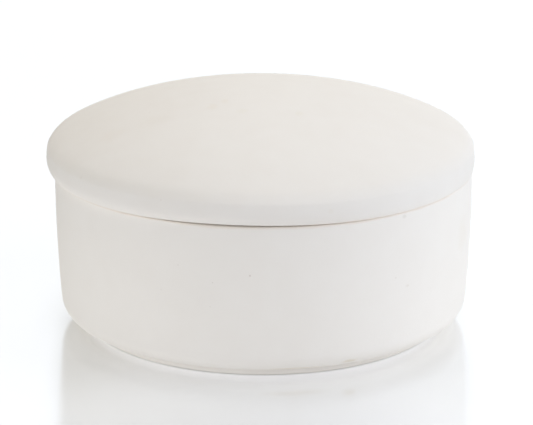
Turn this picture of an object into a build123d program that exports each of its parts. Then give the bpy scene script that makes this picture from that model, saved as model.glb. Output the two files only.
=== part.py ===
from build123d import *

import os
from math import asin, cos, degrees, radians, sin, sqrt, tan

# A round lidded box of the pyxis kind, cast in white clay and fired without glaze.
# It comes in two pieces: a body on a low foot ring, with a lip set in from its rim,
# and a hollow domed lid whose short skirt drops over that lip.
# Millimetres, +Z up, origin at the centre of the plane on which the foot stands.

# Lid, outside
lid_diameter = 127.0  # at the fullest part of the skirt
crown_radius = 157.5  # shallow arc over the middle of the dome
haunch_radius = 84.0  # tighter arc from the crown out to the shoulder
haunch_width = 17.5  # from the edge over the skirt in to where the crown begins
shoulder_radius = 6.8  # tight arc at the rim of the dome
shoulder_lean = 24.0  # degrees from the upright at which the dome ends, in a soft edge
shoulder_inset = 0.25  # that edge lies this far inside the fullest part of the skirt
skirt_fullest = 3.3  # height above the seat at which the skirt is fullest
skirt_tuck = 1.15  # how far the skirt draws in at its lower edge

# Body, outside
lid_overhang = 1.5  # the lid stands out this far past the rim when it is centred
seat_height = 47.7  # ledge on which the lid rests
belly_drop = 3.2  # from the ledge down to the level at which the wall is upright
belly_radius = 453.0  # long arc of the wall's profile
foot_inset = 9.5  # from the rim's radius in to the foot ring's outer side
foot_width = 4.5
foot_height = 3.0

# Walls
lid_wall = 4.5
skirt_wall = 3.65  # at the skirt's lower edge
body_wall = 4.5
base_wall = 5.0
lip_wall = 3.6

# Seat of the lid on the body
lip_height = 3.3  # above the ledge
lip_headroom = 0.2  # from the lip up to where the hollow of the lid starts to close in
seat_play = 1.15  # all round, between lip and skirt, with the lid centred
seat_gap = 0.25  # what is left of the play where the lid has slid against the lip
neck_depth = 2.5  # the lip's inner face runs on this far below the ledge

# Rounded edges and hollows
shoulder_edge_round = 2.0
ceiling_round = 3.0
skirt_edge_round = 0.5
rim_round = 0.6
lip_edge_round = 1.2
lip_cove = 0.6
neck_round = 2.5
floor_round = 8.0
lower_round = 5.5
foot_cove = 1.0
foot_edge_round = 0.8

# Lid: radii, and the angles from the vertical at which the arcs of the dome end
lid_radius = lid_diameter / 2
edge_radius = lid_radius - shoulder_inset
skirt_foot_radius = lid_radius - skirt_tuck
skirt_bore_radius = skirt_foot_radius - skirt_wall
inner_crown_radius = crown_radius - lid_wall
inner_haunch_radius = haunch_radius - lid_wall
crown_angle = asin((edge_radius - haunch_width) / crown_radius)
haunch_axis = (crown_radius - haunch_radius) * sin(crown_angle)
shoulder_angle = radians(90 - shoulder_lean)
shoulder_axis = edge_radius - shoulder_radius * sin(shoulder_angle)
haunch_angle = asin((shoulder_axis - haunch_axis) / (haunch_radius - shoulder_radius))
ceiling_angle = asin((skirt_bore_radius - haunch_axis) / inner_haunch_radius)

# Lid: levels. The hollow clears the lip, and the dome lies one wall above the hollow.
ceiling_fall = ceiling_round * tan((radians(90) - ceiling_angle) / 2)
ceiling_level = seat_height + lip_height + lip_headroom + ceiling_fall
haunch_level = ceiling_level - inner_haunch_radius * cos(ceiling_angle)
crown_level = haunch_level + haunch_radius * cos(crown_angle) + crown_radius * (1 - cos(crown_angle))
lid_shift = seat_play - seat_gap

# Body: radii and levels
rim_radius = lid_radius - lid_overhang
lip_outer_radius = skirt_bore_radius - seat_play
lip_inner_radius = lip_outer_radius - lip_wall
lip_level = seat_height + lip_height
foot_outer_radius = rim_radius - foot_inset
foot_inner_radius = foot_outer_radius - foot_width
floor_level = foot_height + base_wall
belly_level = seat_height - belly_drop
inner_belly_radius = belly_radius - body_wall


def wall_radius(arc_radius, level):
    """Distance from the axis of a wall arc that shares the belly's centre, at one level."""
    arc_centre = rim_radius - belly_radius
    return arc_centre + sqrt(arc_radius**2 - (level - belly_level) ** 2)


wall_low_radius = wall_radius(belly_radius, foot_height)
wall_top_radius = wall_radius(belly_radius, seat_height)
neck_level = seat_height - neck_depth
neck_run = abs(rim_radius - body_wall - lip_inner_radius)
inner_top_level = neck_level - neck_run
inner_top_radius = wall_radius(inner_belly_radius, inner_top_level)
inner_low_radius = wall_radius(inner_belly_radius, floor_level)

# Rounds, no larger than the walls and faces that carry them
wall_share = 0.45
underside_run = wall_low_radius - foot_outer_radius
ledge_run = wall_top_radius - lip_outer_radius
foot_edge_fillet = min(foot_edge_round, wall_share * foot_width, wall_share * foot_height)
foot_cove_fillet = min(foot_cove, wall_share * foot_height, wall_share * underside_run)
lower_fillet = min(lower_round, underside_run - foot_cove_fillet)
rim_fillet = min(rim_round, wall_share * ledge_run)
lip_cove_fillet = min(lip_cove, wall_share * lip_height, wall_share * ledge_run)
lip_edge_fillet = min(lip_edge_round, wall_share * lip_height, wall_share * lip_wall)
neck_fillet = min(neck_round, neck_run)
floor_fillet = min(floor_round, (inner_top_level - floor_level) * (1 - wall_share))
skirt_edge_fillet = min(skirt_edge_round, wall_share * skirt_wall)


def round_corners(section, corners):
    """Round the corner of the section nearest to each point by the radius given with it."""
    for point, radius in corners:
        fillet(section.vertices().sort_by_distance(point)[0], radius)


# Body: foot ring, bellied wall, ledge and lip, turned about the axis
with BuildPart() as box_body:
    with BuildSketch(Plane.XZ) as body_section:
        with BuildLine():
            Polyline(
                (0, floor_level),
                (0, foot_height),
                (foot_inner_radius, foot_height),
                (foot_inner_radius, 0),
                (foot_outer_radius, 0),
                (foot_outer_radius, foot_height),
                (wall_low_radius, foot_height),
            )
            RadiusArc(
                (wall_low_radius, foot_height),
                (wall_top_radius, seat_height),
                -belly_radius,
            )
            Polyline(
                (wall_top_radius, seat_height),
                (lip_outer_radius, seat_height),
                (lip_outer_radius, lip_level),
                (lip_inner_radius, lip_level),
                (lip_inner_radius, neck_level),
                (inner_top_radius, inner_top_level),
            )
            RadiusArc(
                (inner_top_radius, inner_top_level),
                (inner_low_radius, floor_level),
                inner_belly_radius,
            )
            Line((inner_low_radius, floor_level), (0, floor_level))
        make_face()
        round_corners(
            body_section,
            [
                ((foot_inner_radius, foot_height), foot_cove_fillet),
                ((foot_inner_radius, 0), foot_edge_fillet),
                ((foot_outer_radius, 0), foot_edge_fillet),
                ((foot_outer_radius, foot_height), foot_cove_fillet),
                ((wall_low_radius, foot_height), lower_fillet),
                ((wall_top_radius, seat_height), rim_fillet),
                ((lip_outer_radius, seat_height), lip_cove_fillet),
                ((lip_outer_radius, lip_level), lip_edge_fillet),
                ((lip_inner_radius, lip_level), lip_edge_fillet),
                ((lip_inner_radius, neck_level), neck_fillet),
                ((inner_top_radius, inner_top_level), neck_fillet),
                ((inner_low_radius, floor_level), floor_fillet),
            ],
        )
    revolve(axis=Axis.Z)

# Lid: dome, shoulder and skirt, turned about its own axis, which has slid towards -X
# until the skirt almost meets the lip on the other side
lid_plane = Plane(origin=(-lid_shift, 0, 0), x_dir=(1, 0, 0), z_dir=(0, -1, 0))

with BuildPart() as lid:
    with BuildSketch(lid_plane) as lid_section:
        with BuildLine():
            crown_arc = -degrees(crown_angle)
            haunch_arc = -degrees(haunch_angle - crown_angle)
            shoulder_arc = -degrees(shoulder_angle - haunch_angle)
            ceiling_arc = -degrees(ceiling_angle - crown_angle)
            crown = JernArc((0, crown_level), (1, 0), crown_radius, crown_arc)
            haunch = JernArc(crown @ 1, crown % 1, haunch_radius, haunch_arc)
            shoulder = JernArc(haunch @ 1, haunch % 1, shoulder_radius, shoulder_arc)
            fullest = (lid_radius, seat_height + skirt_fullest)
            TangentArc(fullest, shoulder @ 1, tangent=(0, 1))
            skirt = TangentArc(fullest, (skirt_foot_radius, seat_height), tangent=(0, -1))
            hollow = JernArc((0, crown_level - lid_wall), (1, 0), inner_crown_radius, crown_arc)
            ceiling = JernArc(hollow @ 1, hollow % 1, inner_haunch_radius, ceiling_arc)
            Polyline(skirt @ 1, (skirt_bore_radius, seat_height), ceiling @ 1)
            Line(hollow @ 0, crown @ 0)
        make_face()
        round_corners(
            lid_section,
            [
                (shoulder @ 1, shoulder_edge_round),
                (skirt @ 1, skirt_edge_fillet),
                ((skirt_bore_radius, seat_height), skirt_edge_fillet),
                (ceiling @ 1, ceiling_round),
            ],
        )
    revolve(axis=Axis((-lid_shift, 0, 0), (0, 0, 1)))

os.makedirs("parts", exist_ok=True)
box_body.part.label = "box_body"
export_step(box_body.part, "parts/box_body.step")
lid.part.label = "lid"
export_step(lid.part, "parts/lid.step")
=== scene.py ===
"""Looks of a round lidded box in white unglazed clay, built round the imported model.

The box has two castings, a body on a low foot ring and a domed lid. Each one is turned from
its half-section by a Geometry Nodes tree, which also lets it settle a little out of true, as
thin clay does in the kiln. The finish is bare bisque. Everything is in metres, in the frame
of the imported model.
"""

import cmath
import logging
import math
from collections.abc import Callable
from dataclasses import asdict, dataclass
from enum import Enum

import bmesh
import bpy
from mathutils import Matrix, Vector


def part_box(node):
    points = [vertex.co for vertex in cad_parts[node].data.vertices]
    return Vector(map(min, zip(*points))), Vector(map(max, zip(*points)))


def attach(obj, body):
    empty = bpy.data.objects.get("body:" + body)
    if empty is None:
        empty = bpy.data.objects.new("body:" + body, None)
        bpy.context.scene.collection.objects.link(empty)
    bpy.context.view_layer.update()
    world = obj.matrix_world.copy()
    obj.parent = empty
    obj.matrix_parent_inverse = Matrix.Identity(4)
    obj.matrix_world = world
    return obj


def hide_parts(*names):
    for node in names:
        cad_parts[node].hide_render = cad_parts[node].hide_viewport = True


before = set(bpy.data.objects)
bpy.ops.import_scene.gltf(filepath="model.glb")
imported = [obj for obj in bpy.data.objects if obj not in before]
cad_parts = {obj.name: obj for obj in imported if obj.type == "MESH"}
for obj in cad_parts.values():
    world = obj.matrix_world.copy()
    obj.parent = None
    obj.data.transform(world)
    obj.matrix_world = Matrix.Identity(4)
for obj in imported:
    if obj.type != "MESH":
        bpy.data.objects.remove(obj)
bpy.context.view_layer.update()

log = logging.getLogger("pyxis_box")

MM = 0.001
SECTION_STEP = 1.2 * MM  # longest step along a half-section
ROUND_STEP = math.radians(8.0)  # widest turn from one spot of an arc to the next
FITTING_STEPS = 8  # a round lies in its corner after fewer
MERGE_DISTANCE = 0.001 * MM  # closes the seam and the poles of a turned shell
NODE_SPACING = 180.0  # from one node to the next in a tree's layout
NOISE_MIDDLE = 0.5  # a Noise Texture lies around this value

Socket = bpy.types.NodeSocket
Outputs = bpy.types.NodeOutputs
Builder = Callable[["TreePen", Outputs], Socket]
Colour = tuple[float, float, float, float]
Place = tuple[float, float, float]
Span = tuple[float, float]


def in_mm(x: float, y: float, z: float) -> Place:
    """Place or reach that is given in millimetres."""
    return (x * MM, y * MM, z * MM)


# Half-sections


class Bend(Enum):
    """Way in which a run of a half-section goes from its start to its end."""

    STRAIGHT = 0
    LEFT = 1
    RIGHT = -1


def along(direction: complex, spot: complex) -> float:
    """Share of a spot's vector that lies along a unit direction."""
    return (direction.conjugate() * spot).real


def across(first: complex, second: complex) -> float:
    """Sine of the turn from one unit direction to another."""
    return (first.conjugate() * second).imag


def arc_spots(centre: complex, first: complex, last: complex, step: float) -> list[complex]:
    """Divide an arc evenly.

    Args:
        centre: Centre of the arc.
        first: Where the arc starts.
        last: Where the arc ends.
        step: Longest distance from one spot to the next.

    Returns:
        Spots along the arc, without the last one.
    """
    arm = first - centre
    turn = cmath.phase((last - centre) / arm)
    count = max(math.ceil(abs(turn) * abs(arm) / step), math.ceil(abs(turn) / ROUND_STEP), 1)
    return [centre + arm * cmath.exp(1j * turn * index / count) for index in range(count)]


@dataclass(frozen=True)
class Run:
    """One run of a half-section, straight or bent to a radius.

    A spot is a complex number: the distance from the axis, and the level times 1j.
    """

    start: complex
    end: complex
    bend: Bend = Bend.STRAIGHT
    radius: float = 0.0

    def centre(self) -> complex:
        """Find the centre of a bent run.

        Returns:
            The centre.
        """
        chord = self.end - self.start
        arm = math.sqrt(self.radius**2 - abs(chord / 2) ** 2)
        return (self.start + self.end) / 2 + 1j * chord / abs(chord) * arm * self.bend.value

    def side(self, spot: complex) -> tuple[complex, float]:
        """Say on which side of the run a spot lies.

        Args:
            spot: A spot near the run.

        Returns:
            The run's left-hand normal beside the spot, and how far to the left the spot lies.
        """
        if self.bend is Bend.STRAIGHT:
            chord = self.end - self.start
            normal = 1j * chord / abs(chord)
            return normal, along(normal, spot - self.start)
        arm = spot - self.centre()
        return -arm / abs(arm) * self.bend.value, (self.radius - abs(arm)) * self.bend.value

    def walk(self, first: complex, last: complex, step: float) -> list[complex]:
        """Divide a stretch of the run evenly.

        Args:
            first: Where the stretch starts.
            last: Where the stretch ends.
            step: Longest distance from one spot to the next.

        Returns:
            Spots along the stretch, without the last one.
        """
        if self.bend is not Bend.STRAIGHT:
            return arc_spots(self.centre(), first, last, step)
        count = max(math.ceil(abs(last - first) / step), 1)
        return [first + (last - first) * index / count for index in range(count)]


def round_between(before: Run, after: Run, radius: float) -> tuple[complex, complex, complex]:
    """Fit a round into the corner between two runs.

    Args:
        before: The run that ends in the corner.
        after: The run that starts there.
        radius: Radius of the round.

    Returns:
        The round's centre, and the spots where it leaves the first run and joins the second.
    """
    corner = before.end
    normal_before, _ = before.side(corner)
    normal_after, _ = after.side(corner)
    inset = math.copysign(radius, across(normal_before, normal_after))
    spread = 1 + along(normal_before, normal_after)
    centre = corner + (normal_before + normal_after) * inset / spread
    for _ in range(FITTING_STEPS):
        normal_before, left_before = before.side(centre)
        normal_after, left_after = after.side(centre)
        shift = (left_before - inset) * normal_after - (left_after - inset) * normal_before
        centre += 1j * shift / across(normal_before, normal_after)
    return centre, centre - normal_before * left_before, centre - normal_after * left_after


class HalfSection:
    """Half-section of a turned piece, walked from pole to pole, with rounded corners."""

    def __init__(self, start: complex) -> None:
        """Start the walk.

        Args:
            start: The pole at which it starts.
        """
        self.here = start
        self.runs: list[Run] = []
        self.rounds: list[float] = []

    def to(
        self, spot: complex, corner: float = 0.0, bend: Bend = Bend.STRAIGHT, arc: float = 0.0
    ) -> "HalfSection":
        """Add a run to a new spot.

        Args:
            spot: The new spot.
            corner: Radius of the round at the new spot.
            bend: Straight, or the way in which the run bends.
            arc: Radius of a bent run.

        Returns:
            The half-section itself, for the next run.
        """
        self.runs.append(Run(self.here, spot, bend, arc))
        self.rounds.append(corner)
        self.here = spot
        return self

    def spots(self, step: float) -> list[complex]:
        """Divide the whole walk.

        Args:
            step: Longest distance from one spot to the next.

        Returns:
            Spots from pole to pole.
        """
        found: list[complex] = []
        first = self.runs[0].start
        for run, after, radius in zip(self.runs, self.runs[1:], self.rounds):
            if not radius:
                found += run.walk(first, run.end, step)
                first = run.end
                continue
            centre, leaves, joins = round_between(run, after, radius)
            found += run.walk(first, leaves, step)
            found += arc_spots(centre, leaves, joins, step)
            first = joins
        return found + self.runs[-1].walk(first, self.here, step) + [self.here]


# Node trees


class TreePen:
    """Writes nodes and links into one node tree."""

    def __init__(self, tree: bpy.types.NodeTree) -> None:
        """Take the tree to write in."""
        self.tree = tree

    def node(
        self, kind: str, feeds: dict[str | int, object] | None = None, **settings: object
    ) -> bpy.types.Node:
        """Add a node.

        Args:
            kind: Blender's name for the node's type.
            feeds: For an input's name or number, the socket to link to it or the value to set.
            settings: Values of the node's own properties.

        Returns:
            The new node.
        """
        made = self.tree.nodes.new(kind)
        made.location = (NODE_SPACING * len(self.tree.nodes), 0.0)
        for name, value in settings.items():
            setattr(made, name, value)
        for key, value in (feeds or {}).items():
            self.feed(made.inputs[key], value)
        return made

    def feed(self, socket: Socket, value: object) -> None:
        """Link a socket to an input, or set the input's own value.

        Args:
            socket: The input.
            value: The socket to link to it, or the value to set.
        """
        if isinstance(value, Socket):
            self.tree.links.new(value, socket)
        else:
            socket.default_value = value

    def math(self, operation: str, *values: object) -> Socket:
        """Result of a Math node on the values."""
        return self.node("ShaderNodeMath", dict(enumerate(values)), operation=operation).outputs[0]

    def whole(self, operation: str, *values: object) -> Socket:
        """Result of an Integer Math node on the values."""
        feeds = dict(enumerate(values))
        return self.node("FunctionNodeIntegerMath", feeds, operation=operation).outputs[0]

    def vector(self, operation: str, *values: object) -> bpy.types.Node:
        """A Vector Math node on the values."""
        return self.node("ShaderNodeVectorMath", dict(enumerate(values)), operation=operation)

    def noise(self, place: Socket, scale: object, detail: float) -> Socket:
        """Value of a Noise Texture at a place, around a half."""
        feeds = {"Vector": place, "Scale": scale, "Detail": detail}
        return self.node("ShaderNodeTexNoise", feeds).outputs[0]

    def ease(self, value: object, start: object, end: object) -> Socket:
        """Smooth rise from 0 to 1 as a value goes from start to end."""
        feeds = {"Value": value, 1: start, 2: end, 3: 0.0, 4: 1.0}
        return self.node("ShaderNodeMapRange", feeds, interpolation_type="SMOOTHSTEP").outputs[0]

    def mix(self, share: object, first: object, second: object) -> Socket:
        """Mix of two colours."""
        made = self.node("ShaderNodeMix", {0: share, 6: first, 7: second}, data_type="RGBA")
        return made.outputs[2]

    def looked_at(self) -> Socket:
        """Tell what is looked at from what only gives light.

        Returns:
            1 for the eye, for a mirror image and through glass, 0 for light that falls on the box.
        """
        path = self.node("ShaderNodeLightPath").outputs
        mirror = self.math("MAXIMUM", path["Is Glossy Ray"], path["Is Transmission Ray"])
        return self.math("MAXIMUM", path["Is Camera Ray"], mirror)


def empty_tree(owner: bpy.types.Material | bpy.types.World) -> TreePen:
    """Give a material or a world an empty node tree.

    Args:
        owner: The material or the world.

    Returns:
        Writer of the tree.
    """
    owner.use_nodes = True
    owner.node_tree.nodes.clear()
    return TreePen(owner.node_tree)


@dataclass(frozen=True)
class Settling:
    """How a casting has settled out of true in the kiln.

    Each field is the input of the same name in the tree that turns a shell.
    """

    oval: float
    oval_turn: float
    ripple: float
    ripple_scale: float
    seed: float
    gape: float = 0.0
    gape_heading: float = 0.0
    gape_closeness: float = 8.0
    spread: float = 0.0
    spread_heading: float = 0.0
    spread_top: float = 0.0
    spread_drop: float = 1.0


class TurnedShell:
    """Geometry Nodes tree that turns a half-section about an upright axis and lets it settle."""

    SEGMENTS = 256
    INPUTS = {
        "Segments": "NodeSocketInt",
        "Axis": "NodeSocketVector",
        "Oval": "NodeSocketFloat",
        "Oval Turn": "NodeSocketFloat",
        "Ripple": "NodeSocketFloat",
        "Ripple Scale": "NodeSocketFloat",
        "Seed": "NodeSocketFloat",
        "Gape": "NodeSocketFloat",
        "Gape Heading": "NodeSocketFloat",
        "Gape Closeness": "NodeSocketFloat",
        "Reach": "NodeSocketFloat",
        "Spread": "NodeSocketFloat",
        "Spread Heading": "NodeSocketFloat",
        "Spread Top": "NodeSocketFloat",
        "Spread Drop": "NodeSocketFloat",
        "Clay": "NodeSocketMaterial",
    }

    def __init__(self) -> None:
        """Build the tree."""
        self.tree = bpy.data.node_groups.new("Turned clay shell", "GeometryNodeTree")
        face = self.tree.interface
        face.new_socket("Half Section", in_out="INPUT", socket_type="NodeSocketGeometry")
        self.sockets = {
            name: face.new_socket(name, in_out="INPUT", socket_type=kind).identifier
            for name, kind in self.INPUTS.items()
        }
        face.new_socket("Shell", in_out="OUTPUT", socket_type="NodeSocketGeometry")
        pen = TreePen(self.tree)
        given = pen.node("NodeGroupInput").outputs
        shell = self.rippled(pen, given, self.turned(pen, given))
        smooth = pen.node("GeometryNodeSetShadeSmooth", {"Geometry": shell})
        whole = pen.node("GeometryNodeRealizeInstances", {"Geometry": smooth.outputs[0]})
        feeds = {"Geometry": whole.outputs[0], "Material": given["Clay"]}
        clad = pen.node("GeometryNodeSetMaterial", feeds)
        pen.node("NodeGroupOutput", {0: clad.outputs[0]})

    def turned(self, pen: TreePen, given: Outputs) -> Socket:
        """Turn the half-section into a closed shell, which may gape and spread on one side.

        Args:
            pen: Writer of the tree.
            given: The tree's own inputs.

        Returns:
            The shell, its seam and poles merged.
        """
        section = given["Half Section"]
        size = pen.node("GeometryNodeAttributeDomainSize", {"Geometry": section})
        rings = size.outputs["Point Count"]
        columns = pen.whole("ADD", given["Segments"], 1)
        feeds = {"Vertices X": columns, "Vertices Y": rings}
        grid = pen.node("GeometryNodeMeshGrid", feeds).outputs["Mesh"]
        index = pen.node("GeometryNodeInputIndex").outputs[0]
        column = pen.whole("DIVIDE_FLOOR", index, rings)
        ring = pen.whole("MODULO", index, rings)
        position = pen.node("GeometryNodeInputPosition").outputs[0]
        feeds = {"Geometry": section, "Value": position, "Index": ring}
        spot = pen.node("GeometryNodeSampleIndex", feeds, data_type="FLOAT_VECTOR").outputs[0]
        split = pen.node("ShaderNodeSeparateXYZ", {0: spot}).outputs
        share = pen.math("DIVIDE", column, given["Segments"])
        angle = pen.math("MULTIPLY", share, math.tau)
        lobes = pen.math("MULTIPLY_ADD", angle, 2.0, given["Oval Turn"])
        oval = pen.math("MULTIPLY_ADD", pen.math("COSINE", lobes), given["Oval"], 1.0)
        below = pen.math("MAXIMUM", pen.math("SUBTRACT", given["Spread Top"], split["Z"]), 0.0)
        depth = pen.math("POWER", pen.math("DIVIDE", below, given["Spread Drop"]), 2.0)
        side = self.facing(pen, angle, given["Spread Heading"])
        spread = pen.math("MULTIPLY", pen.math("MULTIPLY", depth, side), given["Spread"])
        radius = pen.math("MULTIPLY_ADD", split["X"], oval, spread)
        front = self.facing(pen, angle, given["Gape Heading"])
        facing = pen.math("POWER", front, given["Gape Closeness"])
        outer = pen.math("POWER", pen.math("DIVIDE", split["X"], given["Reach"]), 2.0)
        open_share = pen.math("MULTIPLY", facing, outer)
        feeds = {
            "X": pen.math("MULTIPLY", radius, pen.math("COSINE", angle)),
            "Y": pen.math("MULTIPLY", radius, pen.math("SINE", angle)),
            "Z": pen.math("MULTIPLY_ADD", open_share, given["Gape"], split["Z"]),
        }
        around = pen.node("ShaderNodeCombineXYZ", feeds).outputs[0]
        placed = pen.vector("ADD", around, given["Axis"]).outputs[0]
        feeds = {"Geometry": grid, "Position": placed}
        moved = pen.node("GeometryNodeSetPosition", feeds).outputs[0]
        feeds = {"Geometry": moved, "Distance": MERGE_DISTANCE}
        return pen.node("GeometryNodeMergeByDistance", feeds).outputs[0]

    @staticmethod
    def facing(pen: TreePen, angle: Socket, heading: Socket) -> Socket:
        """How far an angle faces a heading: 1 along it, 0 across it and behind."""
        return pen.math("MAXIMUM", pen.math("COSINE", pen.math("SUBTRACT", angle, heading)), 0.0)

    def rippled(self, pen: TreePen, given: Outputs, shell: Socket) -> Socket:
        """Ripple the shell's faces.

        Args:
            pen: Writer of the tree.
            given: The tree's own inputs.
            shell: The smooth shell.

        Returns:
            The rippled shell.
        """
        position = pen.node("GeometryNodeInputPosition").outputs[0]
        normal = pen.node("GeometryNodeInputNormal").outputs[0]
        scale = given["Ripple Scale"]
        feeds = {"Vector": position, "W": given["Seed"], "Scale": scale, "Detail": 2.0}
        wave = pen.node("ShaderNodeTexNoise", feeds, noise_dimensions="4D").outputs[0]
        height = pen.math("MULTIPLY", pen.math("MULTIPLY_ADD", wave, 2.0, -1.0), given["Ripple"])
        feeds = {0: normal, "Scale": height}
        ripple = pen.node("ShaderNodeVectorMath", feeds, operation="SCALE").outputs[0]
        return pen.node("GeometryNodeSetPosition", {"Geometry": shell, "Offset": ripple}).outputs[0]

    def make(
        self,
        name: str,
        spots: list[complex],
        axis: Place,
        settling: Settling,
        clay: bpy.types.Material,
    ) -> bpy.types.Object:
        """Turn one piece.

        Args:
            name: Name of the piece.
            spots: Its half-section, from pole to pole.
            axis: Foot of the axis that it is turned about.
            settling: How it has settled.
            clay: Its material.

        Returns:
            The piece as a plain mesh object at the origin.
        """
        section = bpy.data.meshes.new(name)
        section.from_pydata([(spot.real, 0.0, spot.imag) for spot in spots], [], [])
        piece = bpy.data.objects.new(name, section)
        bpy.context.scene.collection.objects.link(piece)
        modifier = piece.modifiers.new("Turned shell", "NODES")
        modifier.node_group = self.tree
        reach = max(spot.real for spot in spots)
        values = {"Segments": self.SEGMENTS, "Axis": axis, "Reach": reach, "Clay": clay}
        values |= {key.replace("_", " ").title(): value for key, value in asdict(settling).items()}
        for key, value in values.items():
            modifier[self.sockets[key]] = value
        graph = bpy.context.evaluated_depsgraph_get()
        shell = bpy.data.meshes.new_from_object(piece.evaluated_get(graph), depsgraph=graph)
        piece.modifiers.remove(modifier)
        piece.data = shell
        shell.name = name
        self.face_outwards(shell)
        return piece

    @staticmethod
    def face_outwards(shell: bpy.types.Mesh) -> None:
        """Turn all faces of a closed shell outwards.

        Args:
            shell: The shell's mesh.
        """
        work = bmesh.new()
        work.from_mesh(shell)
        bmesh.ops.recalc_face_normals(work, faces=work.faces)
        work.to_mesh(shell)
        work.free()


# Effects that the finishes share


class Effect(Enum):
    """Shader node groups that more than one finish uses."""

    MOTTLE = "Clay mottle"
    SPECKS = "Iron specks"
    GRAIN = "Clay grain"
    SPONGE = "Sponge marks"
    PATCH = "Kiln patch"
    BAND = "Level band"


class ClayEffects:
    """Builds each effect's node group once and places it in a material."""

    SOCKETS = {
        Effect.MOTTLE: ({"Broad": "Float", "Close": "Float"}, {"Shade": "Float"}),
        Effect.SPECKS: ({"Density": "Float", "Size": "Float"}, {"Mask": "Float"}),
        Effect.GRAIN: ({"Fineness": "Float"}, {"Height": "Float"}),
        Effect.SPONGE: ({"Axis": "Vector", "Closeness": "Float"}, {"Height": "Float"}),
        Effect.PATCH: ({"Centre": "Vector", "Reach": "Vector", "Ragged": "Float"}, {"Mask": "Float"}),
        Effect.BAND: ({"Level": "Float", "Width": "Float", "Ragged": "Float"}, {"Mask": "Float"}),
    }

    def __init__(self) -> None:
        """Build all the groups."""
        builders = {
            Effect.MOTTLE: self.mottle,
            Effect.SPECKS: self.specks,
            Effect.GRAIN: self.grain,
            Effect.SPONGE: self.sponge,
            Effect.PATCH: self.patch,
            Effect.BAND: self.band,
        }
        self.groups = {effect: self.group(effect, build) for effect, build in builders.items()}

    def group(self, effect: Effect, build: Builder) -> bpy.types.NodeTree:
        """Build one effect's group.

        Args:
            effect: Which effect it is.
            build: Method that writes the nodes and gives the output socket.

        Returns:
            The node group.
        """
        tree = bpy.data.node_groups.new(effect.value, "ShaderNodeTree")
        inputs, outputs = self.SOCKETS[effect]
        for name, kind in {"Vector": "Vector", **inputs}.items():
            tree.interface.new_socket(name, in_out="INPUT", socket_type=f"NodeSocket{kind}")
        for name, kind in outputs.items():
            tree.interface.new_socket(name, in_out="OUTPUT", socket_type=f"NodeSocket{kind}")
        pen = TreePen(tree)
        result = build(pen, pen.node("NodeGroupInput").outputs)
        pen.node("NodeGroupOutput", {0: result})
        return tree

    def place(self, pen: TreePen, effect: Effect, feeds: dict[str, object]) -> Socket:
        """Place an effect in a material.

        Args:
            pen: Writer of the material's tree.
            effect: Which effect it is.
            feeds: Its inputs in this material.

        Returns:
            The effect's output.
        """
        made = pen.node("ShaderNodeGroup", node_tree=self.groups[effect])
        for name, value in feeds.items():
            pen.feed(made.inputs[name], value)
        return made.outputs[0]

    @staticmethod
    def mottle(pen: TreePen, given: Outputs) -> Socket:
        """Slow drift of tone over the clay, with a closer cloud in it.

        Args:
            pen: Writer of the group's tree.
            given: The group's own inputs.

        Returns:
            The shade, from 0 to 1.
        """
        broad_share = 0.55
        close_share = 0.45
        broad = pen.noise(given["Vector"], given["Broad"], detail=2.0)
        close = pen.noise(given["Vector"], given["Close"], detail=4.0)
        drift = pen.math("MULTIPLY", broad, broad_share)
        both = pen.math("MULTIPLY_ADD", close, close_share, drift)
        return pen.ease(both, start=0.3, end=0.7)

    @staticmethod
    def specks(pen: TreePen, given: Outputs) -> Socket:
        """Sparse small dots of uneven size.

        Args:
            pen: Writer of the group's tree.
            given: The group's own inputs.

        Returns:
            1 in a dot, 0 between the dots.
        """
        solid_share = 0.4
        feeds = {"Vector": given["Vector"], "Scale": given["Density"]}
        cells = pen.node("ShaderNodeTexVoronoi", feeds).outputs
        chance = pen.node("ShaderNodeSeparateColor", {0: cells["Color"]}).outputs[0]
        size = pen.math("MULTIPLY", given["Size"], pen.math("POWER", chance, 2.0))
        inner = pen.math("MULTIPLY", size, solid_share)
        return pen.math("SUBTRACT", 1.0, pen.ease(cells["Distance"], inner, size))

    @staticmethod
    def grain(pen: TreePen, given: Outputs) -> Socket:
        """Fine tooth of bare clay, with pinholes.

        Args:
            pen: Writer of the group's tree.
            given: The group's own inputs.

        Returns:
            The height.
        """
        pit_closeness = 0.16
        pit_depth = 0.8
        tooth = pen.noise(given["Vector"], given["Fineness"], detail=3.0)
        spread = pen.math("MULTIPLY", given["Fineness"], pit_closeness)
        feeds = {"Vector": given["Vector"], "Scale": spread}
        cells = pen.node("ShaderNodeTexVoronoi", feeds).outputs
        pit = pen.ease(cells["Distance"], start=0.02, end=0.09)
        return pen.math("MULTIPLY_ADD", pit, pit_depth, tooth)

    @staticmethod
    def sponge(pen: TreePen, given: Outputs) -> Socket:
        """Faint streaks round the axis, left by the wet sponge that smoothed the casting.

        Args:
            pen: Writer of the group's tree.
            given: The group's own inputs.

        Returns:
            The height.
        """
        place = pen.vector("SUBTRACT", given["Vector"], given["Axis"]).outputs[0]
        split = pen.node("ShaderNodeSeparateXYZ", {0: place}).outputs
        flat = pen.node("ShaderNodeCombineXYZ", {"X": split["X"], "Y": split["Y"]}).outputs[0]
        radius = pen.vector("LENGTH", flat).outputs["Value"]
        unit = pen.vector("NORMALIZE", flat).outputs[0]
        heading = pen.node("ShaderNodeSeparateXYZ", {0: unit}).outputs
        run = pen.math("MULTIPLY", pen.math("ADD", radius, split["Z"]), given["Closeness"])
        feeds = {"X": heading["X"], "Y": heading["Y"], "Z": run}
        streak = pen.node("ShaderNodeCombineXYZ", feeds).outputs[0]
        return pen.noise(streak, scale=1.6, detail=3.0)

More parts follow.
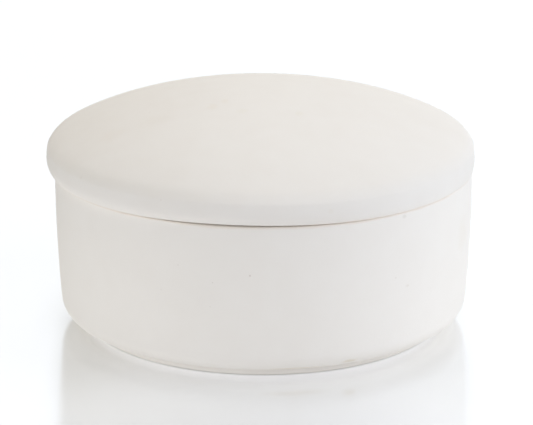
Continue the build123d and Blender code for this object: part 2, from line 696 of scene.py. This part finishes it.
    @staticmethod
    def patch(pen: TreePen, given: Outputs) -> Socket:
        """A soft patch round one place, with a ragged edge.

        Args:
            pen: Writer of the group's tree.
            given: The group's own inputs.

        Returns:
            1 in the patch, 0 outside it.
        """
        away = pen.vector("SUBTRACT", given["Vector"], given["Centre"]).outputs[0]
        reach = pen.vector("DIVIDE", away, given["Reach"]).outputs[0]
        distance = pen.vector("LENGTH", reach).outputs["Value"]
        cloud = pen.noise(reach, scale=1.7, detail=4.0)
        edge = pen.math("SUBTRACT", cloud, NOISE_MIDDLE)
        torn = pen.math("MULTIPLY_ADD", edge, given["Ragged"], distance)
        return pen.ease(torn, start=1.0, end=0.25)

    @staticmethod
    def band(pen: TreePen, given: Outputs) -> Socket:
        """A band round one level, stronger in some places than in others.

        Args:
            pen: Writer of the group's tree.
            given: The group's own inputs.

        Returns:
            1 in the band, 0 outside it.
        """
        level = pen.node("ShaderNodeSeparateXYZ", {0: given["Vector"]}).outputs["Z"]
        distance = pen.math("ABSOLUTE", pen.math("SUBTRACT", level, given["Level"]))
        share = pen.math("DIVIDE", distance, given["Width"])
        cloud = pen.noise(given["Vector"], scale=90.0, detail=4.0)
        edge = pen.math("SUBTRACT", cloud, NOISE_MIDDLE)
        torn = pen.math("MULTIPLY_ADD", edge, given["Ragged"], share)
        return pen.ease(torn, start=1.0, end=0.2)


# Finishes


@dataclass(frozen=True)
class StainAndShade:
    """A faint discoloured place on the clay: mostly stains, and one painted shade line above the
    body's foot.
    """

    centre: Place
    reach: Place
    colour: Colour
    strength: float
    ragged: float = 0.9


@dataclass(frozen=True)
class SeamShade:
    """A warm darker band round one level: painted shade along the seam where the lid sits on the
    body.
    """

    level: float
    width: float
    colour: Colour
    strength: float
    ragged: float = 1.4


@dataclass(frozen=True)
class Bisque:
    """Bare fired clay: matt, chalky, a little uneven in tone."""

    name: str
    pale: Colour
    deep: Colour
    speck: Colour
    axis: Place
    stains: tuple[StainAndShade, ...]
    flashings: tuple[SeamShade, ...]
    broad_mottle: float = 22.0
    close_mottle: float = 130.0
    roughness: Span = (0.86, 0.96)
    diffuse_roughness: float = 0.2
    specular: float = 0.25
    speck_density: float = 210.0
    speck_size: float = 0.055
    speck_strength: float = 0.35
    grain_fineness: float = 1500.0
    grain_strength: float = 0.22
    grain_depth: float = 0.12 * MM
    streak_closeness: float = 420.0
    streak_strength: float = 0.2
    streak_depth: float = 0.1 * MM

    def material(self, effects: ClayEffects) -> bpy.types.Material:
        """Build the material.

        Args:
            effects: The shared effects.

        Returns:
            The material.
        """
        made = bpy.data.materials.new(self.name)
        pen = empty_tree(made)
        place = pen.node("ShaderNodeTexCoord").outputs["Object"]
        feeds = {"Vector": place, "Broad": self.broad_mottle, "Close": self.close_mottle}
        mottle = effects.place(pen, Effect.MOTTLE, feeds)
        smoothest, roughest = self.roughness
        feeds = {"Value": mottle, 3: smoothest, 4: roughest}
        roughness = pen.node("ShaderNodeMapRange", feeds).outputs[0]
        shader = pen.node(
            "ShaderNodeBsdfPrincipled",
            {
                "Base Color": self.colour(pen, effects, place, mottle),
                "Roughness": roughness,
                "Diffuse Roughness": self.diffuse_roughness,
                "Specular IOR Level": self.specular,
                "Normal": self.relief(pen, effects, place),
            },
        )
        pen.node("ShaderNodeOutputMaterial", {"Surface": shader.outputs[0]})
        return made

    def colour(self, pen: TreePen, effects: ClayEffects, place: Socket, mottle: Socket) -> Socket:
        """Colour of the clay, with its stains, painted shade and specks.

        Args:
            pen: Writer of the material's tree.
            effects: The shared effects.
            place: Object coordinates.
            mottle: The mottle's shade.

        Returns:
            The colour.
        """
        clay = pen.mix(mottle, self.pale, self.deep)
        # stains, and one painted shade line above the body's foot
        for tint_mark in self.stains:
            feeds = {"Centre": tint_mark.centre, "Reach": tint_mark.reach, "Ragged": tint_mark.ragged}
            mask = effects.place(pen, Effect.PATCH, {"Vector": place, **feeds})
            clay = pen.mix(pen.math("MULTIPLY", mask, tint_mark.strength), clay, tint_mark.colour)
        # painted shade: warm darker bands along the seam where the lid sits on the body
        for line in self.flashings:
            feeds = {"Level": line.level, "Width": line.width, "Ragged": line.ragged}
            mask = effects.place(pen, Effect.BAND, {"Vector": place, **feeds})
            clay = pen.mix(pen.math("MULTIPLY", mask, line.strength), clay, line.colour)
        feeds = {"Vector": place, "Density": self.speck_density, "Size": self.speck_size}
        specks = effects.place(pen, Effect.SPECKS, feeds)
        return pen.mix(pen.math("MULTIPLY", specks, self.speck_strength), clay, self.speck)

    def relief(self, pen: TreePen, effects: ClayEffects, place: Socket) -> Socket:
        """Relief of the bare clay, too fine for the mesh.

        Args:
            pen: Writer of the material's tree.
            effects: The shared effects.
            place: Object coordinates.

        Returns:
            The normal.
        """
        feeds = {"Vector": place, "Fineness": self.grain_fineness}
        grain = effects.place(pen, Effect.GRAIN, feeds)
        feeds = {"Height": grain, "Strength": self.grain_strength, "Distance": self.grain_depth}
        tooth = pen.node("ShaderNodeBump", feeds).outputs[0]
        feeds = {"Vector": place, "Axis": self.axis, "Closeness": self.streak_closeness}
        streaks = effects.place(pen, Effect.SPONGE, feeds)
        feeds = {"Height": streaks, "Strength": self.streak_strength, "Distance": self.streak_depth}
        return pen.node("ShaderNodeBump", {**feeds, "Normal": tooth}).outputs[0]


# The two castings


@dataclass
class BoxBody:
    """The body: a low foot ring, a bellied wall, a ledge for the lid and a lip inside it."""

    rim_radius: float
    seat_level: float
    lip_level: float
    belly_drop: float = 3.2 * MM
    belly_radius: float = 453.0 * MM
    foot_inset: float = 9.5 * MM
    foot_width: float = 4.5 * MM
    foot_height: float = 3.0 * MM
    wall: float = 4.5 * MM
    base_wall: float = 5.0 * MM
    lip_setback: float = 4.45 * MM
    lip_wall: float = 3.6 * MM
    neck_depth: float = 2.5 * MM
    rim_round: float = 0.45 * MM
    lip_edge_round: float = 1.2 * MM
    lip_cove: float = 0.6 * MM
    neck_round: float = 2.5 * MM
    floor_round: float = 8.0 * MM
    lower_round: float = 5.5 * MM
    foot_cove: float = 1.0 * MM
    foot_edge_round: float = 0.8 * MM

    def wall_spot(self, arc: float, level: float) -> complex:
        """Spot at one level of a wall arc that shares the belly's centre."""
        rise = level - self.seat_level + self.belly_drop
        return complex(self.rim_radius - self.belly_radius + math.sqrt(arc**2 - rise**2), level)

    def section(self) -> HalfSection:
        """Walk from the middle of the underside to the middle of the floor inside.

        Returns:
            The half-section.
        """
        foot_outer = self.rim_radius - self.foot_inset
        foot_inner = foot_outer - self.foot_width
        floor_level = self.foot_height + self.base_wall
        inner_arc = self.belly_radius - self.wall
        lip_outer = self.rim_radius - self.lip_setback
        lip_inner = lip_outer - self.lip_wall
        neck_level = self.seat_level - self.neck_depth
        inner_top = neck_level - (self.rim_radius - self.wall - lip_inner)
        walk = HalfSection(1j * self.foot_height)
        walk.to(complex(foot_inner, self.foot_height), self.foot_cove)
        walk.to(complex(foot_inner, 0.0), self.foot_edge_round)
        walk.to(complex(foot_outer, 0.0), self.foot_edge_round)
        walk.to(complex(foot_outer, self.foot_height), self.foot_cove)
        walk.to(self.wall_spot(self.belly_radius, self.foot_height), self.lower_round)
        rim = self.wall_spot(self.belly_radius, self.seat_level)
        walk.to(rim, self.rim_round, Bend.LEFT, self.belly_radius)
        walk.to(complex(lip_outer, self.seat_level), self.lip_cove)
        walk.to(complex(lip_outer, self.lip_level), self.lip_edge_round)
        walk.to(complex(lip_inner, self.lip_level), self.lip_edge_round)
        walk.to(complex(lip_inner, neck_level), self.neck_round)
        walk.to(self.wall_spot(inner_arc, inner_top), self.neck_round)
        walk.to(self.wall_spot(inner_arc, floor_level), self.floor_round, Bend.RIGHT, inner_arc)
        return walk.to(1j * floor_level)

    def settling(self) -> Settling:
        """The body is a little oval, and its faces are not quite even.

        Returns:
            How the body has settled.
        """
        return Settling(
            oval=0.0010,
            oval_turn=0.6,
            ripple=0.05 * MM,
            ripple_scale=55.0,
            seed=3.0,
        )

    def finish(self) -> Bisque:
        """Neutral white bisque, with painted warm shade along the seam, and a warm stain and a
        painted shade line at the foot.

        Returns:
            The finish.
        """
        return Bisque(
            name="bisque_body",
            pale=(0.880, 0.850, 0.804, 1.0),
            deep=(0.867, 0.833, 0.784, 1.0),
            speck=(0.46, 0.39, 0.32, 1.0),
            axis=(0.0, 0.0, 0.0),
            stains=(
                StainAndShade(in_mm(24.6, -53.5, 4.8), in_mm(3.3, 2.5, 1.0), (0.57, 0.46, 0.27, 1.0), 0.30),
                # painted shade: a thin warm darker line on the lower round's underside edge, above
                # the foot ring
                StainAndShade(in_mm(9.0, -56.8, 3.8), in_mm(13.0, 6.0, 0.6), (0.64, 0.53, 0.37, 1.0), 0.32),
                StainAndShade(in_mm(58.5, -19.9, 31.8), in_mm(4.0, 8.0, 7.0), (0.74, 0.66, 0.53, 1.0), 0.12),
                StainAndShade(in_mm(-3.8, -61.8, 33.3), in_mm(0.4, 0.4, 0.4), (0.46, 0.36, 0.30, 1.0), 0.45),
                StainAndShade(in_mm(40.3, -47.1, 46.3), in_mm(1.1, 1.1, 0.8), (0.58, 0.55, 0.47, 1.0), 0.25),
                StainAndShade(in_mm(41.5, -45.5, 24.9), in_mm(0.9, 0.9, 0.6), (0.66, 0.60, 0.52, 1.0), 0.25),
            ),
            flashings=(
                # painted shade: a warm darker band on the rim and ledge, where the lid sits
                SeamShade(self.seat_level - 0.1 * MM, 0.7 * MM, (0.76, 0.58, 0.42, 1.0), 0.20),
            ),
        )

    def build(self, shell: TurnedShell, effects: ClayEffects) -> bpy.types.Object:
        """Build and dress the body.

        Args:
            shell: The tree that turns it.
            effects: The shared effects of its finish.

        Returns:
            The piece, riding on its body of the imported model.
        """
        clay = self.finish().material(effects)
        spots = self.section().spots(SECTION_STEP)
        piece = shell.make("clay_box_body", spots, (0.0, 0.0, 0.0), self.settling(), clay)
        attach(piece, "box_body")
        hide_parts("box_body")
        return piece


@dataclass
class Lid:
    """The lid: a hollow shallow dome, a rounded shoulder and a short full skirt."""

    radius: float
    axis_x: float
    seat_level: float
    crown_level: float
    crown_radius: float = 157.5 * MM
    haunch_radius: float = 84.0 * MM
    haunch_width: float = 17.5 * MM
    shoulder_radius: float = 6.8 * MM
    shoulder_lean: float = math.radians(24.0)
    shoulder_inset: float = 0.25 * MM
    skirt_fullest: float = 3.3 * MM
    skirt_tuck: float = 1.15 * MM
    wall: float = 4.5 * MM
    skirt_wall: float = 3.65 * MM
    shoulder_edge_round: float = 2.0 * MM
    ceiling_round: float = 3.0 * MM
    skirt_edge_round: float = 0.3 * MM

    def section(self) -> HalfSection:
        """Walk from the crown, round the skirt, to the middle of the hollow.

        Returns:
            The half-section.
        """
        edge = self.radius - self.shoulder_inset
        skirt_foot = self.radius - self.skirt_tuck
        bore = skirt_foot - self.skirt_wall
        inner_crown = self.crown_radius - self.wall
        inner_haunch = self.haunch_radius - self.wall
        crown_turn = math.asin((edge - self.haunch_width) / self.crown_radius)
        haunch_axis = (self.crown_radius - self.haunch_radius) * math.sin(crown_turn)
        shoulder_axis = edge - self.shoulder_radius * math.cos(self.shoulder_lean)
        shoulder_arm = self.haunch_radius - self.shoulder_radius
        haunch_turn = math.asin((shoulder_axis - haunch_axis) / shoulder_arm)
        ceiling_turn = math.asin((bore - haunch_axis) / inner_haunch)
        crown_centre = 1j * (self.crown_level - self.crown_radius)
        crown_out = cmath.rect(1.0, math.pi / 2 - crown_turn)
        haunch_out = cmath.rect(1.0, math.pi / 2 - haunch_turn)
        haunch_centre = crown_centre + (self.crown_radius - self.haunch_radius) * crown_out
        shoulder_centre = haunch_centre + shoulder_arm * haunch_out
        corner = shoulder_centre + cmath.rect(self.shoulder_radius, self.shoulder_lean)
        fullest = complex(self.radius, self.seat_level + self.skirt_fullest)
        foot = complex(skirt_foot, self.seat_level)
        ceiling = haunch_centre + cmath.rect(inner_haunch, math.pi / 2 - ceiling_turn)
        walk = HalfSection(1j * self.crown_level)
        walk.to(crown_centre + self.crown_radius * crown_out, 0.0, Bend.RIGHT, self.crown_radius)
        haunch_end = haunch_centre + self.haunch_radius * haunch_out
        walk.to(haunch_end, 0.0, Bend.RIGHT, self.haunch_radius)
        walk.to(corner, self.shoulder_edge_round, Bend.RIGHT, self.shoulder_radius)
        walk.to(fullest, 0.0, Bend.RIGHT, self.bulge(corner - fullest))
        walk.to(foot, self.skirt_edge_round, Bend.RIGHT, self.bulge(fullest - foot))
        walk.to(complex(bore, self.seat_level), self.skirt_edge_round)
        walk.to(ceiling, self.ceiling_round)
        walk.to(crown_centre + inner_crown * crown_out, 0.0, Bend.LEFT, inner_haunch)
        return walk.to(1j * (self.crown_level - self.wall), 0.0, Bend.LEFT, inner_crown)

    def settling(self) -> Settling:
        """The lid gapes a little at the front, and its skirt has spread on the right.

        Returns:
            How the lid has settled.
        """
        return Settling(
            oval=0.0018,
            oval_turn=0.0,
            ripple=0.05 * MM,
            ripple_scale=48.0,
            seed=8.0,
            gape=0.74 * MM,
            gape_heading=math.radians(261.0),
            spread=0.8 * MM,
            spread_top=self.seat_level + self.skirt_fullest,
            spread_drop=self.skirt_fullest,
        )

    @staticmethod
    def bulge(chord: complex) -> float:
        """Radius of an arc over the chord that is upright at one end."""
        return abs(chord) ** 2 / (2 * abs(chord.real))

    def finish(self) -> Bisque:
        """The body's white bisque, darker all over as painted shade, a little handled.

        Returns:
            The finish.
        """
        return Bisque(
            name="bisque_lid",
            # pale and deep are the body's colours darkened by about 4 in 100: painted shade over the
            # whole lid
            pale=(0.848, 0.819, 0.777, 1.0),
            deep=(0.835, 0.801, 0.755, 1.0),
            speck=(0.47, 0.39, 0.31, 1.0),
            axis=(self.axis_x, 0.0, 0.0),
            stains=(
                StainAndShade(in_mm(-32.0, -17.0, 66.0), in_mm(7.5, 6.0, 8.0), (0.68, 0.60, 0.47, 1.0), 0.05),
                StainAndShade(in_mm(-44.0, -20.0, 62.0), in_mm(6.0, 6.0, 8.0), (0.70, 0.58, 0.44, 1.0), 0.05),
                StainAndShade(in_mm(-14.9, -11.7, 69.2), in_mm(2.2, 3.4, 8.0), (0.74, 0.62, 0.44, 1.0), 0.10),
                StainAndShade(in_mm(-11.3, -7.8, 69.7), in_mm(1.6, 2.6, 8.0), (0.76, 0.63, 0.46, 1.0), 0.10),
                StainAndShade(in_mm(-6.3, -17.0, 69.2), in_mm(2.4, 2.6, 8.0), (0.72, 0.67, 0.48, 1.0), 0.08),
                StainAndShade(in_mm(10.4, -17.9, 68.8), in_mm(1.8, 2.4, 8.0), (0.72, 0.67, 0.48, 1.0), 0.10),
                StainAndShade(in_mm(19.0, -60.0, 52.0), in_mm(1.2, 1.2, 1.0), (0.68, 0.56, 0.42, 1.0), 0.08),
                StainAndShade(in_mm(-52.7, -36.3, 54.7), in_mm(0.8, 0.8, 0.7), (0.56, 0.46, 0.36, 1.0), 0.12),
            ),
            # painted shade: a warm darker band on the skirt's lower edge, where it sits on the body
            flashings=(SeamShade(self.seat_level, 0.6 * MM, (0.76, 0.58, 0.43, 1.0), 0.19),),
        )

    def build(self, shell: TurnedShell, effects: ClayEffects) -> bpy.types.Object:
        """Build and dress the lid.

        Args:
            shell: The tree that turns it.
            effects: The shared effects of its finish.

        Returns:
            The piece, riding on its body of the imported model.
        """
        clay = self.finish().material(effects)
        spots = self.section().spots(SECTION_STEP)
        piece = shell.make("clay_lid", spots, (self.axis_x, 0.0, 0.0), self.settling(), clay)
        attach(piece, "lid")
        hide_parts("lid")
        return piece


# Table, light and camera


@dataclass(frozen=True)
class WhiteTable:
    """Glossy white table: one surface for the eye, another that throws light up on the box."""

    foot_radius: float
    overhang: float
    white: float = 0.8
    gloss: float = 0.78
    gloss_colour: Colour = (0.96, 0.982, 1.0, 1.0)
    roughness: float = 0.16
    glow: float = 0.102
    glow_colour: Colour = (0.87, 0.9, 1.0, 1.0)
    # glow_shade: the glow fades to nothing at the foot, a painted contact shadow
    glow_shade: float = 1.6 * MM
    # near_*: painted light in front of the foot and painted shade behind and to the left of it
    near_glow: float = -0.04
    near_lean: Place = (-1.2, 3.6, 0.0)
    near_reach: float = 20.0 * MM
    far_glow: float = 0.2
    # dim: a painted shadow on two strips of the table beside the box
    far_span: Span = (0.3, 1.2)
    dim_glow: float = 0.066
    dim_lean: Place = (-0.36, 0.0, 0.0)
    dim_inner: Span = (30.0 * MM, 53.0 * MM)
    dim_outer: Span = (64.0 * MM, 57.0 * MM)
    dim_front: Span = (-90.0 * MM, -42.0 * MM)
    dim_back: Span = (12.0 * MM, -8.0 * MM)
    dim_clear: Span = (52.0 * MM, 57.0 * MM)
    bounce_white: float = 0.5
    bounce_glow: float = 0.58
    bounce_ends: Place = (0.0, -0.25, 0.0)
    bounce_shade: float = 12.0 * MM
    shade_ends: Place = (0.5, 0.8, 0.0)
    bounce_fade: float = 0.45
    fade_span: Span = (90.0 * MM, 220.0 * MM)
    under_glow: float = 0.36
    under_ends: Place = (0.35, 0.0, 0.0)
    under_shade: float = 0.45 * MM
    under_share: float = 0.6

    def material(self) -> bpy.types.Material:
        """Build the material.

        Returns:
            The material.
        """
        made = bpy.data.materials.new("white_table")
        pen = empty_tree(made)
        place = pen.node("ShaderNodeTexCoord").outputs["Object"]
        away = pen.vector("LENGTH", place).outputs["Value"]
        heading = pen.vector("NORMALIZE", place).outputs[0]
        seen = self.seen(pen, place, away, heading)
        bounce = self.bounce(pen, away, heading)
        whole = pen.node("ShaderNodeMixShader", {0: pen.looked_at(), 1: bounce, 2: seen})
        pen.node("ShaderNodeOutputMaterial", {"Surface": whole.outputs[0]})
        return made

    def seen(self, pen: TreePen, place: Socket, away: Socket, heading: Socket) -> Socket:
        """What the eye sees: a glossy white top with a faint glow, and painted shadow and light near
        the box.

        Args:
            pen: Writer of the material's tree.
            place: Object coordinates.
            away: Distance from the body's axis.
            heading: Unit direction from the body's axis.

        Returns:
            The shader.
        """
        matt = self.matt(pen, self.white)
        feeds = {"Color": self.gloss_colour, "Roughness": self.roughness}
        gloss = pen.node("ShaderNodeBsdfAnisotropic", feeds).outputs[0]
        both = pen.node("ShaderNodeMixShader", {0: self.gloss, 1: matt, 2: gloss}).outputs[0]
        # painted contact shadow at the foot
        clear = pen.ease(away, self.foot_radius, self.foot_radius + self.glow_shade)
        # painted light in front of the foot, painted shade behind and to the left
        close = pen.ease(away, self.foot_radius + self.near_reach, self.foot_radius)
        near_level = self.leaning(pen, heading, self.near_glow, self.near_lean)
        # painted shadow strips beside the box
        dim_level = self.leaning(pen, heading, self.dim_glow, self.dim_lean)
        dim = pen.math("MULTIPLY", self.beside(pen, place, away), dim_level)
        distant = pen.ease(away, *self.far_span)
        level = pen.math("MULTIPLY_ADD", distant, self.far_glow, self.glow)
        level = pen.math("MULTIPLY_ADD", close, near_level, level)
        level = pen.math("SUBTRACT", level, dim)
        feeds = {"Color": self.glow_colour, "Strength": pen.math("MULTIPLY", clear, level)}
        glow = pen.node("ShaderNodeEmission", feeds).outputs[0]
        return pen.node("ShaderNodeAddShader", {0: both, 1: glow}).outputs[0]

    def bounce(self, pen: TreePen, away: Socket, heading: Socket) -> Socket:
        """What lights the box from below: a pale top whose glow fades at the foot and far off.

        Args:
            pen: Writer of the material's tree.
            away: Distance from the body's axis.
            heading: Unit direction from the body's axis.

        Returns:
            The shader.
        """
        ends = pen.vector("MULTIPLY", heading, heading).outputs[0]
        shade = self.leaning(pen, ends, self.bounce_shade, self.shade_ends)
        far = pen.ease(pen.math("SUBTRACT", away, self.foot_radius), 0.0, shade)
        spent = pen.ease(away, *self.fade_span)
        kept = pen.math("MULTIPLY_ADD", spent, -self.bounce_fade, 1.0)
        far_level = self.leaning(pen, ends, self.bounce_glow, self.bounce_ends)
        far_level = pen.math("MULTIPLY", far_level, kept)
        under_end = self.foot_radius + self.under_share * self.overhang
        past = pen.ease(away, under_end, self.foot_radius + self.overhang)
        near = pen.ease(away, self.foot_radius, self.foot_radius + self.under_shade)
        under_level = self.leaning(pen, ends, self.under_glow, self.under_ends)
        under = pen.math("MULTIPLY", pen.math("SUBTRACT", near, past), under_level)
        strength = pen.math("MULTIPLY_ADD", far, far_level, under)
        glow = pen.node("ShaderNodeEmission", {"Strength": strength}).outputs[0]
        pale = self.matt(pen, self.bounce_white)
        return pen.node("ShaderNodeAddShader", {0: pale, 1: glow}).outputs[0]

    def beside(self, pen: TreePen, place: Socket, away: Socket) -> Socket:
        """Painted shadow: two strips of the table, in front of the box's left and right sides.

        Args:
            pen: Writer of the material's tree.
            place: Object coordinates.
            away: Distance from the body's axis.

        Returns:
            1 in the strips, 0 away from them.
        """
        split = pen.node("ShaderNodeSeparateXYZ", {0: place}).outputs
        aside = pen.math("ABSOLUTE", split["X"])
        strips = pen.ease(aside, *self.dim_inner)
        limits = (
            (aside, self.dim_outer),
            (split["Y"], self.dim_front),
            (split["Y"], self.dim_back),
            (away, self.dim_clear),
        )
        for value, span in limits:
            strips = pen.math("MULTIPLY", strips, pen.ease(value, *span))
        return strips

    @staticmethod
    def matt(pen: TreePen, white: float) -> Socket:
        """Matt shader of one level of white."""
        return pen.node("ShaderNodeBsdfDiffuse", {"Color": (white, white, white, 1.0)}).outputs[0]

    @staticmethod
    def leaning(pen: TreePen, heading: Socket, level: float, lean: Place) -> Socket:
        """A level that is higher on the side towards which it leans."""
        share = pen.vector("DOT_PRODUCT", heading, lean).outputs["Value"]
        return pen.math("MULTIPLY_ADD", share, level, level)


def outward(azimuth: float, elevation: float) -> Vector:
    """Find the direction from the box to a lamp or to the camera.

    Args:
        azimuth: Degrees round the box, from the front to the right.
        elevation: Degrees above the table.

    Returns:
        The unit direction.
    """
    turn = math.radians(azimuth)
    rise = math.radians(elevation)
    flat = math.cos(rise)
    return Vector((math.sin(turn) * flat, -math.cos(turn) * flat, math.sin(rise)))


@dataclass(frozen=True)
class Softbox:
    """A broad soft lamp that faces the box. Azimuth and elevation are in degrees."""

    name: str
    azimuth: float
    elevation: float
    power: float
    colour: tuple[float, float, float]
    distance: float = 1.1
    size: float = 0.8

    def build(self, aim: Vector) -> bpy.types.Object:
        """Build the lamp.

        Args:
            aim: The place that it faces.

        Returns:
            The lamp.
        """
        lamp = bpy.data.lights.new(self.name, "AREA")
        lamp.shape = "DISK"
        lamp.size = self.size
        lamp.energy = self.power
        lamp.color = self.colour
        made = bpy.data.objects.new(self.name, lamp)
        heading = outward(self.azimuth, self.elevation)
        made.location = aim + heading * self.distance
        made.rotation_euler = heading.to_track_quat("Z", "Y").to_euler()
        made.visible_glossy = False
        bpy.context.scene.collection.objects.link(made)
        return made


@dataclass
class Studio:
    """White table, soft light and the camera."""

    table: WhiteTable
    table_half: float = 6.0
    image_width: float = 533.0
    focal_pixels: float = 3677.0
    sensor: float = 36.0
    eye_elevation: float = 17.56
    eye_distance: float = 1100.0 * MM
    aim: Place = (0.90 * MM, 0.0, 32.6 * MM)

    def floor(self) -> bpy.types.Object:
        """Glossy white table top, which keeps the box's shadow, in part painted, and shows its
        reflection.

        Returns:
            The floor.
        """
        half = self.table_half
        sheet = bpy.data.meshes.new("table_top")
        corners = [(-half, -half, 0.0), (half, -half, 0.0), (half, half, 0.0), (-half, half, 0.0)]
        sheet.from_pydata(corners, [], [(0, 1, 2, 3)])
        sheet.materials.append(self.table.material())
        made = bpy.data.objects.new("table_top", sheet)
        bpy.context.scene.collection.objects.link(made)
        return made

    def world(self) -> None:
        """White surroundings for the eye and for mirror images, which give the box no light."""
        world = bpy.data.worlds.new("studio")
        bpy.context.scene.world = world
        pen = empty_tree(world)
        feeds = {"Color": (1.0, 1.0, 1.0, 1.0), "Strength": pen.looked_at()}
        white = pen.node("ShaderNodeBackground", feeds)
        pen.node("ShaderNodeOutputWorld", {"Surface": white.outputs[0]})

    def lamps(self) -> list[bpy.types.Object]:
        """Main soft lamp from the right, weaker ones from the left, the front, above and behind.

        Returns:
            The lamps.
        """
        aim = Vector(self.aim)
        boxes = (
            Softbox("right_softbox", 80.0, 30.0, 8.2, (0.847, 0.906, 1.0)),
            Softbox("left_softbox", -62.0, 20.0, 3.5, (0.99, 1.0, 0.985)),
            Softbox("front_softbox", 0.0, 16.0, 3.45, (0.885, 0.908, 1.0)),
            Softbox("top_softbox", 0.0, 88.0, 4.35, (1.0, 0.944, 0.832)),
            Softbox("back_softbox", 180.0, 40.0, 4.8, (1.0, 0.972, 0.962)),
        )
        return [box.build(aim) for box in boxes]

    def camera(self) -> bpy.types.Object:
        """Camera at the photograph's viewing angle.

        Returns:
            The camera.
        """
        lens = bpy.data.cameras.new("camera")
        lens.sensor_width = self.sensor
        lens.lens = self.focal_pixels / self.image_width * self.sensor
        made = bpy.data.objects.new("camera", lens)
        heading = outward(0.0, self.eye_elevation)
        made.location = Vector(self.aim) + heading * self.eye_distance
        made.rotation_euler = heading.to_track_quat("Z", "Y").to_euler()
        bpy.context.scene.collection.objects.link(made)
        bpy.context.scene.camera = made
        return made


def report(piece: bpy.types.Object) -> None:
    """Log a finished piece and the size of its mesh."""
    piece.data.calc_loop_triangles()
    log.info("%s: %d triangles", piece.name, len(piece.data.loop_triangles))


def main() -> None:
    """Build the two castings and the studio."""
    logging.basicConfig(level=logging.INFO, format="%(name)s: %(message)s")
    bpy.context.scene.view_settings.view_transform = "Standard"
    body_low, body_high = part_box("box_body")
    lid_low, lid_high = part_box("lid")
    shell = TurnedShell()
    effects = ClayEffects()
    body = BoxBody(
        rim_radius=(body_high.x - body_low.x) / 2,
        seat_level=lid_low.z,
        lip_level=body_high.z,
    )
    lid = Lid(
        radius=(lid_high.x - lid_low.x) / 2,
        axis_x=(lid_high.x + lid_low.x) / 2,
        seat_level=lid_low.z,
        crown_level=lid_high.z,
    )
    for casting in (body, lid):
        report(casting.build(shell, effects))
    table = WhiteTable(
        foot_radius=body.rim_radius - body.foot_inset - body.foot_edge_round,
        overhang=body.foot_inset + body.foot_edge_round,
    )
    studio = Studio(table)
    report(studio.floor())
    studio.world()
    for lamp in studio.lamps():
        log.info("lamp %s", lamp.name)
    log.info("camera lens %.1f mm", studio.camera().data.lens)


if __name__ == "__main__":
    main()
